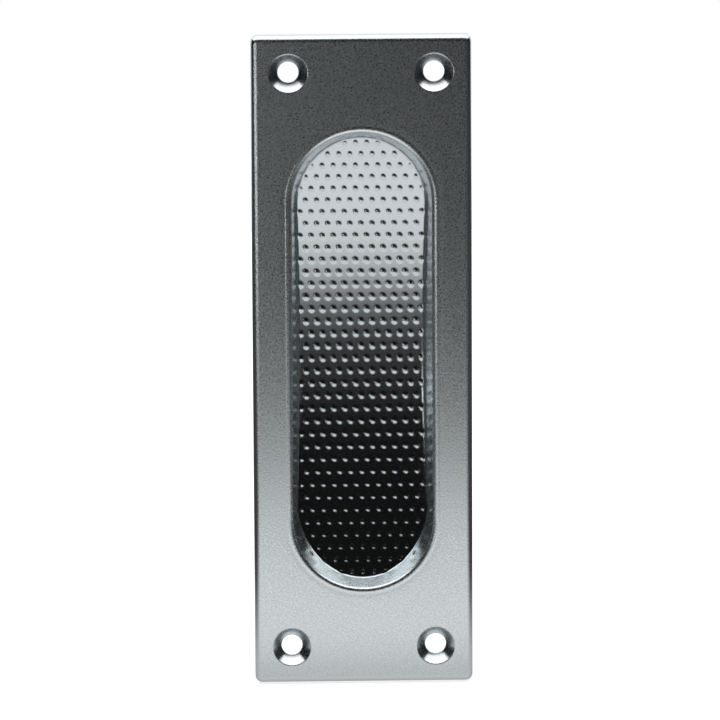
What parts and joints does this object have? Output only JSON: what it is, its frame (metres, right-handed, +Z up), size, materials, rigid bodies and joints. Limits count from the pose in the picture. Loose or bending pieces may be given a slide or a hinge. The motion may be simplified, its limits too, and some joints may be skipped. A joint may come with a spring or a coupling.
{
  "type": "pocket door pull",
  "caption": "Rectangular flush pull for a sliding door: a pressed metal plate with countersunk screw seats and a long round-ended finger recess whose scooped floor is covered in pips.",
  "frame": {"origin": "on the door's surface, in the middle of the four screw holes", "axes": "+Z up along the plate as it hangs on a door, X across it, the face looks towards -Y"},
  "size_m": [0.05, 0.0132, 0.15],
  "materials": {
    "satin_aluminium": "satin anodised, fine matt grain"
  },
  "bodies": {
    "root": {"pull_plate": "satin_aluminium"}
  },
  "joints": []
}
